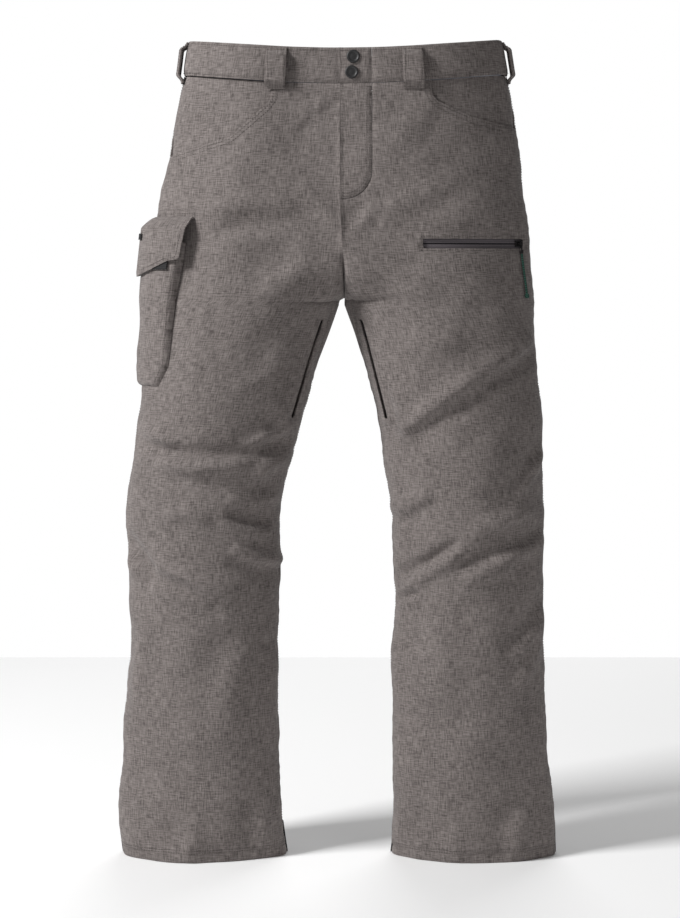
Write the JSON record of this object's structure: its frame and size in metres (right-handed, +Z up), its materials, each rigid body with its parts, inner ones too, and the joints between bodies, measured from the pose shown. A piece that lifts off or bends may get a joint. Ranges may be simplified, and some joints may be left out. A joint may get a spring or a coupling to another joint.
{
  "type": "ski pants",
  "caption": "Insulated ski pants standing on their hems, with a snap and zip fly, belt loops, a zipped thigh pocket, a flapped cargo pocket, inner thigh vents and boot gaiters.",
  "frame": {"origin": "on the floor under the middle of the pants' box", "axes": "+Z up the legs, the front of the pants faces -Y, the wearer's left is +X"},
  "size_m": [0.5972, 0.1814, 1.087],
  "materials": {
    "shell_cloth": "matte heather weave",
    "lining": "plain taffeta",
    "zip_tape": "coated, satin",
    "black_webbing": "woven",
    "mesh": "open knit",
    "green_cord": "braided",
    "dark_metal": "satin black",
    "black_plastic": "matte"
  },
  "bodies": {
    "trousers": {"back_panel_left": "shell_cloth", "back_panel_right": "shell_cloth", "belt_loop_back_centre": "shell_cloth", "belt_loop_back_left": "shell_cloth", "belt_loop_back_right": "shell_cloth", "belt_loop_front_left": "shell_cloth", "belt_loop_front_right": "shell_cloth", "belt_loop_side_left": "shell_cloth", "belt_loop_side_right": "shell_cloth", "boot_gaiter_left": "lining", "boot_gaiter_right": "lining", "cargo_loop_patch": "black_webbing", "cargo_pocket": "shell_cloth", "crotch_gusset": "shell_cloth", "fly_underlap": "shell_cloth", "fly_zip_tape": "zip_tape", "front_panel_left": "shell_cloth", "front_panel_right": "shell_cloth", "gaiter_elastic_left": "black_webbing", "gaiter_elastic_right": "black_webbing", "hand_pocket_bag_left": "lining", "hand_pocket_bag_right": "lining", "hand_pocket_facing_left": "shell_cloth", "hand_pocket_facing_right": "shell_cloth", "scuff_guard_left": "black_webbing", "scuff_guard_right": "black_webbing", "snap_plate_lower": "dark_metal", "snap_plate_upper": "dark_metal", "snap_stud_lower": "dark_metal", "snap_stud_upper": "dark_metal", "thigh_pocket_bag": "lining", "thigh_zip_tape": "zip_tape", "vent_mesh_left": "mesh", "vent_mesh_right": "mesh", "vent_zip_tape_left": "zip_tape", "vent_zip_tape_right": "zip_tape", "waistband": "shell_cloth", "waistband_facing": "lining"},
    "fly_flap": {"fly_placket": "shell_cloth", "waistband_tab": "shell_cloth", "snap_cap_upper": "black_plastic", "snap_cap_lower": "black_plastic", "snap_socket_upper": "dark_metal", "snap_socket_lower": "dark_metal"},
    "fly_slider": {"fly_zip_slider": "dark_metal"},
    "fly_pull": {"fly_zip_pull": "dark_metal"},
    "thigh_slider": {"thigh_zip_slider": "dark_metal"},
    "thigh_pull": {"thigh_zip_pull": "dark_metal", "thigh_zip_cord": "green_cord"},
    "cargo_flap": {"cargo_flap": "shell_cloth", "cargo_hook_patch": "black_webbing", "cargo_tag": "black_webbing"},
    "vent_slider_left": {"vent_zip_slider_left": "dark_metal"},
    "vent_pull_left": {"vent_zip_pull_left": "dark_metal"},
    "vent_slider_right": {"vent_zip_slider_right": "dark_metal"},
    "vent_pull_right": {"vent_zip_pull_right": "dark_metal"}
  },
  "joints": [
    {"name": "fly_opening", "type": "hinge", "parent": "trousers", "child": "fly_flap", "pos_m": [0.0433, -0.08155, 0.97014], "axis": [0, 0.049, 0.9988], "range_deg": [0, 110]},
    {"name": "fly_zip_travel", "type": "slide", "parent": "trousers", "child": "fly_slider", "axis": [0, -0.049, -0.9988], "range_m": [0, 0.122]},
    {"name": "fly_pull_swing", "type": "hinge", "parent": "fly_slider", "child": "fly_pull", "pos_m": [0.015, -0.07415, 1.01383], "axis": [-1, 0, 0], "range_deg": [0, 5]},
    {"name": "thigh_zip_travel", "type": "hinge", "parent": "trousers", "child": "thigh_slider", "pos_m": [0.11066, 0.11117, 0.824], "axis": [0, 0, 1], "range_deg": [-37.5, 0]},
    {"name": "thigh_pull_swing", "type": "hinge", "parent": "thigh_slider", "child": "thigh_pull", "pos_m": [0.23745, -0.0403, 0.824], "axis": [0, 0, 1], "range_deg": [-20, 20]},
    {"name": "cargo_flap_lift", "type": "hinge", "parent": "trousers", "child": "cargo_flap", "pos_m": [-0.23975, -0.02923, 0.859], "axis": [-0.4181, 0.9084, 0], "range_deg": [0, 140]},
    {"name": "vent_zip_travel_left", "type": "slide", "parent": "trousers", "child": "vent_slider_left", "axis": [0.2477, 0.0008, -0.9688], "range_m": [0, 0.106]},
    {"name": "vent_pull_swing_left", "type": "hinge", "parent": "vent_slider_left", "child": "vent_pull_left", "pos_m": [0.03326, -0.04252, 0.71674], "axis": [-0.6082, 0.7785, -0.1549], "range_deg": [0, 150]},
    {"name": "vent_zip_travel_right", "type": "slide", "parent": "trousers", "child": "vent_slider_right", "axis": [-0.2977, 0.0008, -0.9547], "range_m": [0, 0.106]},
    {"name": "vent_pull_swing_right", "type": "hinge", "parent": "vent_slider_right", "child": "vent_pull_right", "pos_m": [-0.02559, -0.04251, 0.71603], "axis": [-0.6047, -0.774, 0.1879], "range_deg": [0, 150]}
  ]
}
